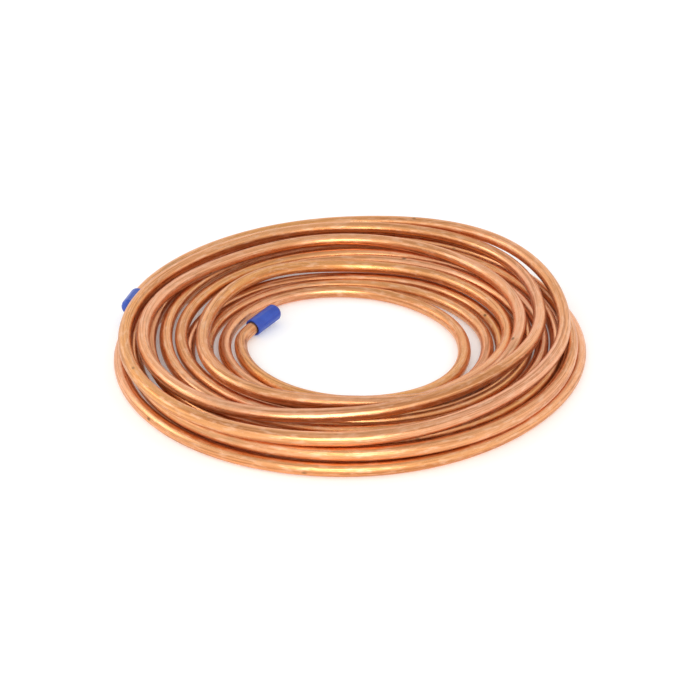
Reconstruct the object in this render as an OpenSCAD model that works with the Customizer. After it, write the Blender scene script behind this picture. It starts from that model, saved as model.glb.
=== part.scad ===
// Loose coil of soft copper tube lying flat, with a push-on cap on each end.
// The origin is at the middle of the footprint, at floor level, with +Z up.
// The tube is one piece: it is wound outwards on the floor, back inwards as a
// second layer, and outwards again as a third layer.

/* [Tube] */
// Outside diameter of the tube
tube_od = 12.7; // [10:0.1:12.7]
// Wall thickness of the tube
tube_wall = 0.8; // [0.6:0.1:1.6]
// Height from one layer of turns to the next
layer_pitch = 13.2; // [13.2:0.1:16]

/* [End caps] */
// Wall thickness of a cap
cap_wall = 2.2; // [1:0.1:2.4]
// Length of the inner cap
inner_cap_len = 38; // [30:1:39]
// Length of the outer cap
outer_cap_len = 30; // [24:1:31]

/* [Hidden] */

// Distance of the tube's centreline from the middle of the coil, turn by turn.
// Columns: left, front left, front, front right, right, back right, back, back left.
turn_r = [
    [107, 108, 112, 116, 107, 98, 101, 113],
    [122, 123, 127, 131, 130, 120, 116, 128],
    [139, 138, 141, 146, 144, 138, 130, 143],
    [156, 159, 162, 165, 168, 170, 172, 182],
    [204, 208, 203, 199, 205, 205, 200, 203],
    [220, 223, 217, 213, 219, 219, 215, 210],
    [207, 216, 213, 212, 209, 206, 200, 196],
    [193, 197, 195, 198, 195, 191, 186, 182],
    [178, 178, 178, 184, 181, 172, 160, 160],
    [163, 163, 163, 170, 167, 156, 145, 145],
    [143, 145, 144, 142, 150, 141, 130, 128],
    [137, 159, 154, 156, 161, 163, 168, 172],
    [196, 200, 176, 169, 180, 201, 198, 199],
    [213, 222, 210, 197, 203, 215, 214, 223]
];
// Height of the same points, counted in layers above the floor layer.
turn_h = [
    [0, 0, 0, 0, 0, 0, 0, 0],
    [0, 0, 0, 0, 0, 0, 0, 0],
    [0, 0, 0, 0, 0, 0, 0, 0],
    [0, 0, 0, 0, 0, 0, 0, 0],
    [0, 0, 0, 0, 0, 0, 0, 0],
    [0, 0, 0, 0, 0, 0, 0.1, 0.9],
    [1, 1, 1, 1, 1, 1, 1, 1],
    [1, 1, 1, 1, 1, 1, 1, 1],
    [1, 1, 1, 1, 1, 1, 1, 1],
    [1, 1, 1, 1, 1, 1, 1, 1],
    [1, 1, 1, 1, 1, 1, 1.1, 1.9],
    [2, 2, 2, 1.4, 2, 2, 2, 2],
    [2, 2, 2.2, 2.4, 2, 2, 2, 2],
    [2, 2, 2, 2, 2, 2.5, 1.9, 1.25]
];
cols = 8;
last_col = len(turn_r) * cols - 1;
ro = tube_od / 2;
ri = ro - tube_wall;
rings_per_col = 4;
sides = 8;
bore_sides = 6;

// The two straight ends, each from the tip of the tube to where it starts to bend.
inner_tip = [-76.5, 48, ro + 5.5];
inner_bend = [-97.5, 18.5, ro + 2.8];
outer_bend = [-212.5, 67, ro + 14];
outer_tip = [-219, 40, ro + 14];

// Puts the middle of the footprint over the origin.
middle = [1.12, 1, 0];

function unit(v) = v / norm(v);
// A table's value at column i, counted along the whole tube.
function cell(tab, i) = tab[floor(i / cols)][i % cols];
function at(tab, i) =
    i < 0 ? 2 * cell(tab, 0) - cell(tab, 1) :
    i > last_col ? 2 * cell(tab, last_col) - cell(tab, last_col - 1) : cell(tab, i);
function cubic(a, b, c, d, u) =
    b + 0.5 * u * (c - a + u * (2 * a - 5 * b + 4 * c - d + u * (3 * (b - c) + d - a)));
function smooth(tab, t) =
    let (i = min(floor(t), last_col - 1))
    cubic(at(tab, i - 1), at(tab, i), at(tab, i + 1), at(tab, i + 2), t - i);
function turn_pt(t) =
    let (a = 180 + t * 360 / cols, r = smooth(turn_r, t))
    [r * cos(a), r * sin(a), ro + layer_pitch * max(0, smooth(turn_h, t))];
// A curve from p to q that leaves p along a and reaches q along b.
function link(p, a, q, b, u) =
    let (k = norm(q - p))
    p * (2 * u * u * u - 3 * u * u + 1) + a * k * (u * u * u - 2 * u * u + u)
    + q * (3 * u * u - 2 * u * u * u) + b * k * (u * u * u - u * u);

n_rings = last_col * rings_per_col;
turns = [for (i = [0 : n_rings]) turn_pt(last_col * i / n_rings)];
route = concat(
    [inner_tip],
    [for (u = [0, 0.25, 0.5, 0.75])
        link(inner_bend, unit(inner_bend - inner_tip), turns[0], unit(turns[1] - turns[0]), u)],
    turns,
    [for (u = [0.25, 0.5, 0.75, 1])
        link(turns[n_rings], unit(turns[n_rings] - turns[n_rings - 1]), outer_bend, unit(outer_tip - outer_bend), u)],
    [outer_tip]);
last = len(route) - 1;

// A ring of n points of radius r round the route's point i.
function ring(i, n, r) =
    let (t = unit(route[min(i + 1, last)] - route[max(i - 1, 0)]),
         side = unit(cross(t, [0, 0, 1])), up = cross(side, t))
    [for (k = [0 : n - 1]) route[i] + r * (cos(360 * k / n) * side + sin(360 * k / n) * up)];

// The flat ring of wall at one end of the tube, facing backwards or forwards.
function rim(i, b0, back) =
    let (near = [for (k = [0 : sides - 1]) round((k + 0.5) * bore_sides / sides) % bore_sides],
         o = i * sides, n = b0 + i * bore_sides,
         tri = concat(
            [for (k = [0 : sides - 1]) [o + k, o + (k + 1) % sides, n + near[k]]],
            [for (k = [0 : sides - 1]) let (j = (k + sides - 1) % sides)
                if (near[k] != near[j]) [o + k, n + near[k], n + near[j]]]))
    [for (f = tri) back ? [f[0], f[1], f[2]] : [f[0], f[2], f[1]]];

module hollow_sweep() {
    outer = [for (i = [0 : last]) for (p = ring(i, sides, ro)) p];
    bore = [for (i = [0 : last]) for (p = ring(i, bore_sides, ri)) p];
    b0 = len(outer);
    skin = [for (i = [0 : last - 1]) for (k = [0 : sides - 1])
        let (a = i * sides + k, b = i * sides + (k + 1) % sides)
        for (f = [[a, b + sides, b], [a, a + sides, b + sides]]) f];
    inside = [for (i = [0 : last - 1]) for (k = [0 : bore_sides - 1])
        let (a = b0 + i * bore_sides + k, b = b0 + i * bore_sides + (k + 1) % bore_sides)
        for (f = [[a, b, b + bore_sides], [a, b + bore_sides, a + bore_sides]]) f];
    polyhedron(points = concat(outer, bore), faces = concat(skin, inside, rim(0, b0, true), rim(last, b0, false)));
}

module copper_tube() {
    color([0.80, 0.47, 0.30]) translate(middle) hollow_sweep();
}

module end_cap(len) {
    r_cap = ro + cap_wall;
    difference() {
        rotate_extrude($fn = 64)
            polygon([[0, 0], [r_cap - 2, 0], [r_cap, 2], [r_cap, len], [0, len]]);
        translate([0, 0, cap_wall + 1]) cylinder(r = ro + 0.05, h = len, $fn = 64);
    }
}

// A cap pushed on the tube end at p, with its mouth towards q.
module cap_at(p, q, len) {
    v = q - p;
    translate(p)
        rotate([0, acos(v[2] / norm(v)), atan2(v[1], v[0])])
            translate([0, 0, -cap_wall - 1])
                end_cap(len);
}

module inner_end_cap() { color([0.16, 0.30, 0.68]) translate(middle) cap_at(inner_tip, inner_bend, inner_cap_len); }
module outer_end_cap() { color([0.16, 0.30, 0.68]) translate(middle) cap_at(outer_tip, outer_bend, outer_cap_len); }

copper_tube();
inner_end_cap();
outer_end_cap();
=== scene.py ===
# Looks of a loose coil of soft copper tube with a blue push-on cap on each end.
import math

import bpy
import numpy as np
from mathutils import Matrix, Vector


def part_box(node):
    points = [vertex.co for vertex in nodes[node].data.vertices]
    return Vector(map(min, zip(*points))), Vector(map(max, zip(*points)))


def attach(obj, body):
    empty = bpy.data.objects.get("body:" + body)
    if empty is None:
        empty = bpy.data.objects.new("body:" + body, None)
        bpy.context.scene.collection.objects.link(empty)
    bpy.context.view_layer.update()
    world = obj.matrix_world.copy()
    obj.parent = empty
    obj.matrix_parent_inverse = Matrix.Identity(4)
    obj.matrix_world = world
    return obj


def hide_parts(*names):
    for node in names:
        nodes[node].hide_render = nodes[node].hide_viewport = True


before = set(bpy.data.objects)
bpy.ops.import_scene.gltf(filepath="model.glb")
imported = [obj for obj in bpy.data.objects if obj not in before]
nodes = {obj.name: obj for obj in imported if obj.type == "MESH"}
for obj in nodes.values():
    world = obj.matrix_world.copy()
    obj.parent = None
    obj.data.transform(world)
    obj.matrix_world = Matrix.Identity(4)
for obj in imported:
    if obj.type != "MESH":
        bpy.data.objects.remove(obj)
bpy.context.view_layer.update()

# ---------------------------------------------------------------- the tube's route, in millimetres
TUBE_OD = 12.7
TUBE_WALL = 0.8
LAYER_PITCH = 13.2
RO = TUBE_OD / 2
RI = RO - TUBE_WALL
CAP_WALL = 2.2
COLS = 8
# distance from the winding's middle and height in layers, turn by turn:
# left, front left, front, front right, right, back right, back, back left
TURN_R = [
    [107, 108, 112, 116, 107, 98, 101, 113],
    [122, 123, 127, 131, 130, 120, 116, 128],
    [139, 138, 141, 146, 144, 138, 130, 143],
    [156, 159, 162, 165, 168, 170, 172, 182],
    [204, 208, 203, 199, 205, 205, 200, 203],
    [220, 223, 217, 213, 219, 219, 215, 210],
    [207, 216, 213, 212, 209, 206, 200, 196],
    [193, 197, 195, 198, 195, 191, 186, 182],
    [178, 178, 178, 184, 181, 172, 160, 160],
    [163, 163, 163, 170, 167, 156, 145, 145],
    [143, 145, 144, 142, 150, 141, 130, 128],
    [137, 159, 154, 156, 161, 163, 168, 172],
    [196, 200, 176, 169, 180, 201, 198, 199],
    [213, 222, 210, 197, 203, 215, 214, 223]
]
TURN_H = [
    [0, 0, 0, 0, 0, 0, 0, 0],
    [0, 0, 0, 0, 0, 0, 0, 0],
    [0, 0, 0, 0, 0, 0, 0, 0],
    [0, 0, 0, 0, 0, 0, 0, 0],
    [0, 0, 0, 0, 0, 0, 0, 0],
    [0, 0, 0, 0, 0, 0, 0.1, 0.9],
    [1, 1, 1, 1, 1, 1, 1, 1],
    [1, 1, 1, 1, 1, 1, 1, 1],
    [1, 1, 1, 1, 1, 1, 1, 1],
    [1, 1, 1, 1, 1, 1, 1, 1],
    [1, 1, 1, 1, 1, 1, 1.1, 1.9],
    [2, 2, 2, 1.4, 2, 2, 2, 2],
    [2, 2, 2.2, 2.4, 2, 2, 2, 2],
    [2, 2, 2, 2, 2, 2.5, 1.9, 1.25]
]
INNER_TIP = [-76.5, 48, RO + 5.5]
INNER_BEND = [-97.5, 18.5, RO + 2.8]
OUTER_BEND = [-212.5, 67, RO + 14]
OUTER_TIP = [-219, 40, RO + 14]
MIDDLE = [1.12, 1, 0]

R_FLAT = [v for row in TURN_R for v in row]
H_FLAT = [v for row in TURN_H for v in row]
LAST = len(R_FLAT) - 1


def unit(v):
    return v / np.linalg.norm(v)


def smooth(flat, t):
    i = min(int(math.floor(t)), LAST - 1)
    u = t - i

    def at(k):
        if k < 0:
            return 2 * flat[0] - flat[1]
        if k > LAST:
            return 2 * flat[LAST] - flat[LAST - 1]
        return flat[k]

    a, b, c, d = at(i - 1), at(i), at(i + 1), at(i + 2)
    return b + 0.5 * u * (c - a + u * (2 * a - 5 * b + 4 * c - d + u * (3 * (b - c) + d - a)))


def turn_pt(t):
    a = math.radians(180 + t * 360 / COLS)
    r = smooth(R_FLAT, t)
    return np.array([r * math.cos(a), r * math.sin(a), RO + LAYER_PITCH * max(0.0, smooth(H_FLAT, t))])


def link(p, a, q, b, u):
    k = np.linalg.norm(q - p)
    return (
        p * (2 * u**3 - 3 * u * u + 1)
        + a * k * (u**3 - 2 * u * u + u)
        + q * (3 * u * u - 2 * u**3)
        + b * k * (u**3 - u * u)
    )


def dense_route():
    """The centreline as closely spaced points, in millimetres."""
    it, ib, ob, ot = (np.array(p, float) for p in (INNER_TIP, INNER_BEND, OUTER_BEND, OUTER_TIP))
    n = len(TURN_R) * 400
    turns = [turn_pt(LAST * i / n) for i in range(n + 1)]
    us = [i / 24 for i in range(24)]
    start = [it + (ib - it) * u for u in us]
    start += [link(ib, unit(ib - it), turns[0], unit(turns[1] - turns[0]), u) for u in us]
    end = [link(turns[-1], unit(turns[-1] - turns[-2]), ob, unit(ot - ob), u) for u in us[1:] + [1.0]]
    end += [ob + (ot - ob) * u for u in us[1:] + [1.0]]
    return np.array(start + turns + end) + np.array(MIDDLE, float)


def resample(pts, step):
    s = np.r_[0, np.cumsum(np.linalg.norm(np.diff(pts, axis=0), axis=1))]
    n = int(round(s[-1] / step))
    t = np.linspace(0, s[-1], n + 1)
    return np.stack([np.interp(t, s, pts[:, k]) for k in range(3)], 1), t


def frames(pts):
    tan = np.gradient(pts, axis=0)
    tan /= np.linalg.norm(tan, axis=1)[:, None]
    side = np.cross(tan, [0, 0, 1.0])
    side /= np.linalg.norm(side, axis=1)[:, None]
    up = np.cross(side, tan)
    return tan, side, up


def fitted(pts):
    """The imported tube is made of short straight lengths, so the smooth route is drawn in by its chords' height."""
    lo, hi = (np.array(c) * 1000 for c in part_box("copper_tube"))
    k = 1.0
    for axis in (0, 1):
        k = min(k, (hi[axis] - RO) / pts[:, axis].max(), (lo[axis] + RO) / pts[:, axis].min())
    top = min(1.0, (hi[2] - 2 * RO) / (pts[:, 2].max() - RO))
    out = pts * [k, k, 1.0]
    out[:, 2] = RO + (pts[:, 2] - RO) * top
    return out


def eased(pts, passes=3):
    """Soften the change from each straight end into its first bend."""
    out = pts.copy()
    for lo, hi in ((9, 20), (len(pts) - 20, len(pts) - 9)):
        for _ in range(passes):
            out[lo:hi] = 0.25 * out[lo - 1:hi - 1] + 0.5 * out[lo:hi] + 0.25 * out[lo + 1:hi + 1]
    return out


DENSE = fitted(dense_route())
ROUTE, ALONG = resample(DENSE, 3.9)
ROUTE = eased(ROUTE)
TAN, SIDE, UP = frames(ROUTE)

# ---------------------------------------------------------------- mesh helpers


def make_object(name, verts, faces, material, smooth_faces=True):
    mesh = bpy.data.meshes.new(name)
    mesh.from_pydata([tuple(v) for v in verts], [], faces)
    mesh.update()
    mesh.materials.append(material)
    if smooth_faces:
        mesh.polygons.foreach_set("use_smooth", [True] * len(mesh.polygons))
    obj = bpy.data.objects.new(name, mesh)
    bpy.context.scene.collection.objects.link(obj)
    return obj


def vector_attribute(mesh, name, values):
    att = mesh.attributes.new(name, "FLOAT_VECTOR", "POINT")
    att.data.foreach_set("vector", np.asarray(values, np.float32).ravel())


# ---------------------------------------------------------------- node helpers


class Tree:
    def __init__(self, name):
        self.mat = bpy.data.materials.new(name)
        self.mat.use_nodes = True
        self.nt = self.mat.node_tree
        self.nt.nodes.clear()
        self.out = self.nt.nodes.new("ShaderNodeOutputMaterial")
        self.bsdf = self.nt.nodes.new("ShaderNodeBsdfPrincipled")
        self.nt.links.new(self.bsdf.outputs[0], self.out.inputs["Surface"])

    def link(self, a, b):
        self.nt.links.new(a, b)

    def node(self, kind, **values):
        n = self.nt.nodes.new(kind)
        for k, v in values.items():
            setattr(n, k, v)
        return n

    def attribute(self, name):
        n = self.node("ShaderNodeAttribute", attribute_name=name)
        return n.outputs["Vector"]

    def scaled(self, vec, scale, offset=(0, 0, 0)):
        n = self.node("ShaderNodeMapping")
        n.inputs["Scale"].default_value = scale
        n.inputs["Location"].default_value = offset
        self.link(vec, n.inputs["Vector"])
        return n.outputs["Vector"]

    def noise(self, vec, scale, detail=2.0, rough=0.5, distortion=0.0):
        n = self.node("ShaderNodeTexNoise")
        n.inputs["Scale"].default_value = scale
        n.inputs["Detail"].default_value = detail
        n.inputs["Roughness"].default_value = rough
        n.inputs["Distortion"].default_value = distortion
        self.link(vec, n.inputs["Vector"])
        return n.outputs["Fac"]

    def cells(self, vec, scale=1.0):
        n = self.node("ShaderNodeTexVoronoi")
        n.inputs["Scale"].default_value = scale
        self.link(vec, n.inputs["Vector"])
        sep = self.node("ShaderNodeSeparateColor")
        self.link(n.outputs["Color"], sep.inputs[0])
        return n.outputs["Distance"], sep.outputs[0]

    def ramp(self, fac, stops):
        n = self.node("ShaderNodeValToRGB")
        els = n.color_ramp.elements
        while len(els) > 1:
            els.remove(els[-1])
        els[0].position = stops[0][0]
        els[0].color = (*stops[0][1], 1)
        for pos, col in stops[1:]:
            e = els.new(pos)
            e.color = (*col, 1)
        self.link(fac, n.inputs["Fac"])
        return n.outputs["Color"]

    def mix(self, fac, a, b, blend="MIX"):
        n = self.node("ShaderNodeMix", data_type="RGBA", blend_type=blend)
        for sock, v in ((n.inputs["Factor"], fac), (n.inputs["A"], a), (n.inputs["B"], b)):
            pass
        ins = {i.identifier: i for i in n.inputs}
        for key, v in (("Factor_Float", fac), ("A_Color", a), ("B_Color", b)):
            sock = ins[key]
            if hasattr(v, "is_output"):
                self.link(v, sock)
            elif isinstance(v, (int, float)):
                sock.default_value = v
            else:
                sock.default_value = (*v, 1)
        outs = {o.identifier: o for o in n.outputs}
        return outs["Result_Color"]

    def math(self, op, a, b=None, clamp=False):
        n = self.node("ShaderNodeMath", operation=op, use_clamp=clamp)
        for i, v in enumerate((a, b)):
            if v is None:
                continue
            if hasattr(v, "is_output"):
                self.link(v, n.inputs[i])
            else:
                n.inputs[i].default_value = v
        return n.outputs[0]

    def span(self, fac, lo, hi, to_lo=0.0, to_hi=1.0):
        n = self.node("ShaderNodeMapRange")
        n.inputs["From Min"].default_value = lo
        n.inputs["From Max"].default_value = hi
        n.inputs["To Min"].default_value = to_lo
        n.inputs["To Max"].default_value = to_hi
        self.link(fac, n.inputs["Value"])
        return n.outputs["Result"]

    def bump(self, height, strength, distance):
        n = self.node("ShaderNodeBump")
        n.inputs["Strength"].default_value = strength
        n.inputs["Distance"].default_value = distance
        self.link(height, n.inputs["Height"])
        self.link(n.outputs["Normal"], self.bsdf.inputs["Normal"])


# ---------------------------------------------------------------- materials


def copper_material():
    """Bright soft-drawn copper: lengthwise drawing lines, golden and pink stretches, dull patches, a few small spots."""
    t = Tree("copper_drawn")
    co = t.attribute("tube_co")
    # long thin lines left by the drawing die
    lines = t.noise(t.scaled(co, (6, 520, 520)), 1.0, detail=4, rough=0.7)
    fine = t.noise(t.scaled(co, (30, 2400, 2400), (3, 1, 7)), 1.0, detail=3, rough=0.6)
    # stretches of tube from golden to pink, and smaller clouds
    stretch = t.noise(t.scaled(co, (1.7, 8, 8), (5, 2, 9)), 1.0, detail=3, rough=0.55)
    cloud = t.noise(t.scaled(co, (22, 120, 120), (1, 7, 4)), 1.0, detail=4, rough=0.6, distortion=0.4)
    patches = t.noise(t.scaled(co, (70, 330, 330), (11, 4, 3)), 1.0, detail=5, rough=0.65)
    base = t.ramp(stretch, [(0.38, (0.80, 0.375, 0.135)), (0.5, (0.83, 0.39, 0.175)), (0.60, (0.86, 0.42, 0.24))])
    dull = t.mix(t.span(cloud, 0.52, 0.74, 0.0, 0.55), base, (0.58, 0.29, 0.125))
    lined = t.mix(t.span(lines, 0.47, 0.60, 0.0, 0.70), dull, (0.42, 0.15, 0.05))
    pale = t.mix(t.span(patches, 0.50, 0.64, 0.0, 0.45), lined, (0.95, 0.62, 0.42))
    # brown tarnish in soft-edged areas
    tarnish = t.noise(t.scaled(co, (13, 60, 60), (2, 8, 5)), 1.0, detail=5, rough=0.62)
    worn = t.mix(t.span(tarnish, 0.60, 0.74, 0.0, 0.50), pale, (0.40, 0.235, 0.12))
    # small dark spots here and there
    near, pick = t.cells(t.scaled(co, (38, 62, 62), (4, 0.3, 0.6)))
    spot = t.math("MULTIPLY", t.span(near, 0.05, 0.13, 1.0, 0.0), t.math("GREATER_THAN", pick, 0.72))
    col = t.mix(t.math("MULTIPLY", spot, 0.75), worn, (0.115, 0.075, 0.035))
    t.link(col, t.bsdf.inputs["Base Color"])
    rough = t.math("ADD", t.span(lines, 0.35, 0.65, 0.26, 0.42), t.span(patches, 0.38, 0.65, -0.05, 0.08))
    rough = t.math("ADD", rough, t.math("MULTIPLY", spot, 0.2))
    t.link(rough, t.bsdf.inputs["Roughness"])
    t.bsdf.inputs["Metallic"].default_value = 1.0
    dents = t.noise(t.scaled(co, (32, 70, 70), (6, 6, 1)), 1.0, detail=2, rough=0.5)
    height = t.math("ADD", t.math("MULTIPLY", lines, 0.5), t.math("MULTIPLY", fine, 0.2))
    height = t.math("ADD", height, t.math("MULTIPLY", patches, 0.35))
    height = t.math("ADD", height, t.math("MULTIPLY", dents, 1.6))
    t.bump(height, 0.6, 0.0004)
    return t.mat


def cap_material():
    """Moulded blue polyethylene, slightly waxy, with faint scuffs."""
    t = Tree("cap_plastic")
    geo = t.node("ShaderNodeTexCoord").outputs["Object"]
    cloud = t.noise(t.scaled(geo, (60, 60, 60)), 1.0, detail=3)
    grain = t.noise(t.scaled(geo, (1400, 1400, 1400)), 1.0, detail=2)
    scuff = t.noise(t.scaled(geo, (500, 500, 90)), 1.0, detail=5, rough=0.7)
    col = t.ramp(cloud, [(0.3, (0.012, 0.045, 0.34)), (0.7, (0.022, 0.075, 0.44))])
    col = t.mix(t.span(scuff, 0.62, 0.8, 0.0, 0.35), col, (0.10, 0.18, 0.58))
    t.link(col, t.bsdf.inputs["Base Color"])
    t.link(t.span(scuff, 0.4, 0.8, 0.30, 0.50), t.bsdf.inputs["Roughness"])
    t.bsdf.inputs["Specular IOR Level"].default_value = 0.5
    t.bsdf.inputs["Subsurface Weight"].default_value = 0.0
    t.bump(grain, 0.15, 0.0001)
    return t.mat


COPPER = copper_material()
CAP = cap_material()

# ---------------------------------------------------------------- the tube
SIDES = 24


def tube_mesh():
    n = len(ROUTE)
    rng = np.random.default_rng(7)
    ang = np.arange(SIDES) * 2 * math.pi / SIDES
    # coiled tube is a little oval, flatter across the bend, and never quite even
    k = np.linspace(0, 1, n)
    wob = np.zeros(n)
    for f in (37, 83, 151, 263):
        wob += rng.uniform(0.3, 1.0) * np.sin(2 * math.pi * (k * f + rng.uniform()))
    wob /= 3.0
    oval = 0.035 + 0.015 * wob
    verts, coords = [], []
    for i in range(n):
        ra = RO * (1 - oval[i] * 0.5)
        rb = RO * 1.0
        ring = ROUTE[i] + np.outer(np.cos(ang) * ra, SIDE[i]) + np.outer(np.sin(ang) * rb, UP[i])
        verts.append(ring)
        coords.append(np.stack([np.full(SIDES, ALONG[i]), np.cos(ang) * RO, np.sin(ang) * RO], 1))
    faces = []
    for i in range(n - 1):
        a = i * SIDES
        for j in range(SIDES):
            b = (j + 1) % SIDES
            faces.append((a + j, a + SIDES + j, a + SIDES + b, a + b))
    # the cut ends: wall, then a short way down the bore
    base = n * SIDES
    extra = 0
    for end, order in ((0, 1), (n - 1, -1)):
        tdir = TAN[end] * order
        for depth, rad in ((0.0, RI), (8.0, RI)):
            ring = ROUTE[end] + tdir * depth + np.outer(np.cos(ang) * rad, SIDE[end]) + np.outer(np.sin(ang) * rad, UP[end])
            verts.append(ring)
            coords.append(np.stack([np.full(SIDES, ALONG[end] + depth), np.cos(ang) * rad, np.sin(ang) * rad], 1))
        o, r1, r2 = end * SIDES, base + extra * SIDES, base + (extra + 1) * SIDES
        for j in range(SIDES):
            b = (j + 1) % SIDES
            q = [(o + j, o + b, r1 + b, r1 + j), (r1 + j, r1 + b, r2 + b, r2 + j)]
            faces += q if order == 1 else [f[::-1] for f in q]
        cap = [r2 + j for j in range(SIDES)]
        faces.append(tuple(cap) if order == 1 else tuple(cap[::-1]))
        extra += 2
    return np.vstack(verts) * 0.001, faces, np.vstack(coords) * 0.001


verts, faces, coords = tube_mesh()
tube = make_object("copper_tube_wound", verts, faces, COPPER)
vector_attribute(tube.data, "tube_co", coords)
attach(tube, "root")
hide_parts("copper_tube")

# ---------------------------------------------------------------- the caps


def cap_object(name, tip, bend, length):
    """A push-on cap: a fluted sleeve with a rounded lip at its mouth, a domed closed end and a hollow for the tube."""
    tip, bend = np.array(tip, float) + MIDDLE, np.array(bend, float) + MIDDLE
    axis = unit(bend - tip)
    start = tip - axis * (CAP_WALL + 1)
    side = unit(np.cross(axis, [0, 0, 1.0]))
    up = np.cross(side, axis)
    r = RO + CAP_WALL
    n = 96
    dome = [(5.5 * (1 - math.cos(a)), r * math.sin(a) ** 0.8) for a in np.radians(np.linspace(12, 90, 14))]
    body = [(length * f, r) for f in np.linspace(0.2, 0.92, 12)]
    lip = [(length - 0.7 + 0.7 * math.sin(a), r - 0.7 + 0.7 * math.cos(a)) for a in np.radians([0, 22, 45, 67, 90])]
    mouth = [(length, RO + 0.9), (length - 0.3, RO + 0.45), (length - 1.2, RO + 0.15), (length - 8, RO + 0.1)]
    prof = dome + body + lip + mouth
    verts, faces = [], []
    for i, (z, rad) in enumerate(prof):
        # ten shallow flutes run along the sleeve and fade out on the dome and at the mouth
        fade = min(1.0, max(0.0, (z - 2.0) / 5.0)) * min(1.0, max(0.0, (length - 2.5 - z) / 4.0))
        for j in range(n):
            a = 2 * math.pi * j / n
            flute = 0.32 * fade * (0.5 - 0.5 * math.cos(10 * a)) ** 2 if i < len(dome) + len(body) else 0.0
            rr = rad - flute
            verts.append(start + axis * z + rr * (math.cos(a) * side + math.sin(a) * up))
    for i in range(len(prof) - 1):
        for j in range(n):
            b = (j + 1) % n
            faces.append((i * n + j, i * n + b, (i + 1) * n + b, (i + 1) * n + j))
    faces.append(tuple(range(n))[::-1])
    return make_object(name, np.array(verts) * 0.001, faces, CAP)


inner = cap_object("inner_cap_moulded", INNER_TIP, INNER_BEND, 38)
outer = cap_object("outer_cap_moulded", OUTER_TIP, OUTER_BEND, 30)
for obj, node in ((inner, "inner_end_cap"), (outer, "outer_end_cap")):
    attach(obj, "root")
    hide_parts(node)

# ---------------------------------------------------------------- floor, light and camera
floor_mat = Tree("studio_floor")
fco = floor_mat.node("ShaderNodeTexCoord").outputs["Object"]
fn = floor_mat.noise(floor_mat.scaled(fco, (3, 3, 3)), 1.0, detail=2)
floor_mat.link(floor_mat.ramp(fn, [(0.3, (0.86, 0.86, 0.86)), (0.7, (0.88, 0.88, 0.88))]), floor_mat.bsdf.inputs["Base Color"])
floor_mat.bsdf.inputs["Roughness"].default_value = 0.8
floor_mat.bsdf.inputs["Emission Color"].default_value = (1, 1, 1, 1)
floor_mat.bsdf.inputs["Emission Strength"].default_value = 0.21
floor = make_object("floor", [(-12, -12, 0), (12, -12, 0), (12, 12, 0), (-12, 12, 0)], [(0, 1, 2, 3)], floor_mat.mat, False)


def area(name, loc, target, size, power, color=(1, 1, 1), size_y=None):
    data = bpy.data.lights.new(name, "AREA")
    data.energy = power
    data.color = color
    data.shape = "RECTANGLE"
    data.size = size
    data.size_y = size_y or size
    obj = bpy.data.objects.new(name, data)
    bpy.context.scene.collection.objects.link(obj)
    obj.location = loc
    obj.rotation_euler = (Vector(target) - Vector(loc)).to_track_quat("-Z", "Y").to_euler()
    return obj


area("front", (0.05, -2.4, 0.85), (0, 0, 0.03), 1.5, 31.0, color=(1, 0.96, 0.86), size_y=1.1)
area("left", (-2.3, 0.3, 1.3), (0, 0, 0), 1.4, 8.0, size_y=0.9)

# white studio walls all round, dimmer overhead
world = bpy.data.worlds.new("studio")
bpy.context.scene.world = world
world.use_nodes = True
wt = world.node_tree
bg = wt.nodes["Background"]
bg.inputs["Strength"].default_value = 1.0
sky = wt.nodes.new("ShaderNodeTexCoord")
sep = wt.nodes.new("ShaderNodeSeparateXYZ")
shade = wt.nodes.new("ShaderNodeValToRGB")
wt.links.new(sky.outputs["Generated"], sep.inputs[0])
wt.links.new(sep.outputs["Z"], shade.inputs["Fac"])
wt.links.new(shade.outputs["Color"], bg.inputs["Color"])
els = shade.color_ramp.elements
els[0].position = 0.0
els[0].color = (0.90, 0.90, 0.90, 1)
els[1].position = 1.0
els[1].color = (0.78, 0.78, 0.78, 1)
for pos, v in ((0.25, 1.15), (0.5, 1.1), (0.8, 0.82)):
    e = els.new(pos)
    e.color = (v, v, v, 1)
bpy.context.scene.view_settings.view_transform = "Standard"

cam_data = bpy.data.cameras.new("camera")
cam = bpy.data.objects.new("camera", cam_data)
bpy.context.scene.collection.objects.link(cam)
bpy.context.scene.camera = cam
cam_data.sensor_width = 36
cam_data.lens = 1477.0 / 700 * 36
cam_data.clip_end = 100
cam.location = (
    (-1.68 + MIDDLE[0]) * 0.001,
    (-1235.8 + MIDDLE[1]) * 0.001,
    0.7173,
)
cam.rotation_euler = (math.radians(90 - 30.276), 0, 0)

# ---------------------------------------------------------------- finish
bpy.context.view_layer.update()
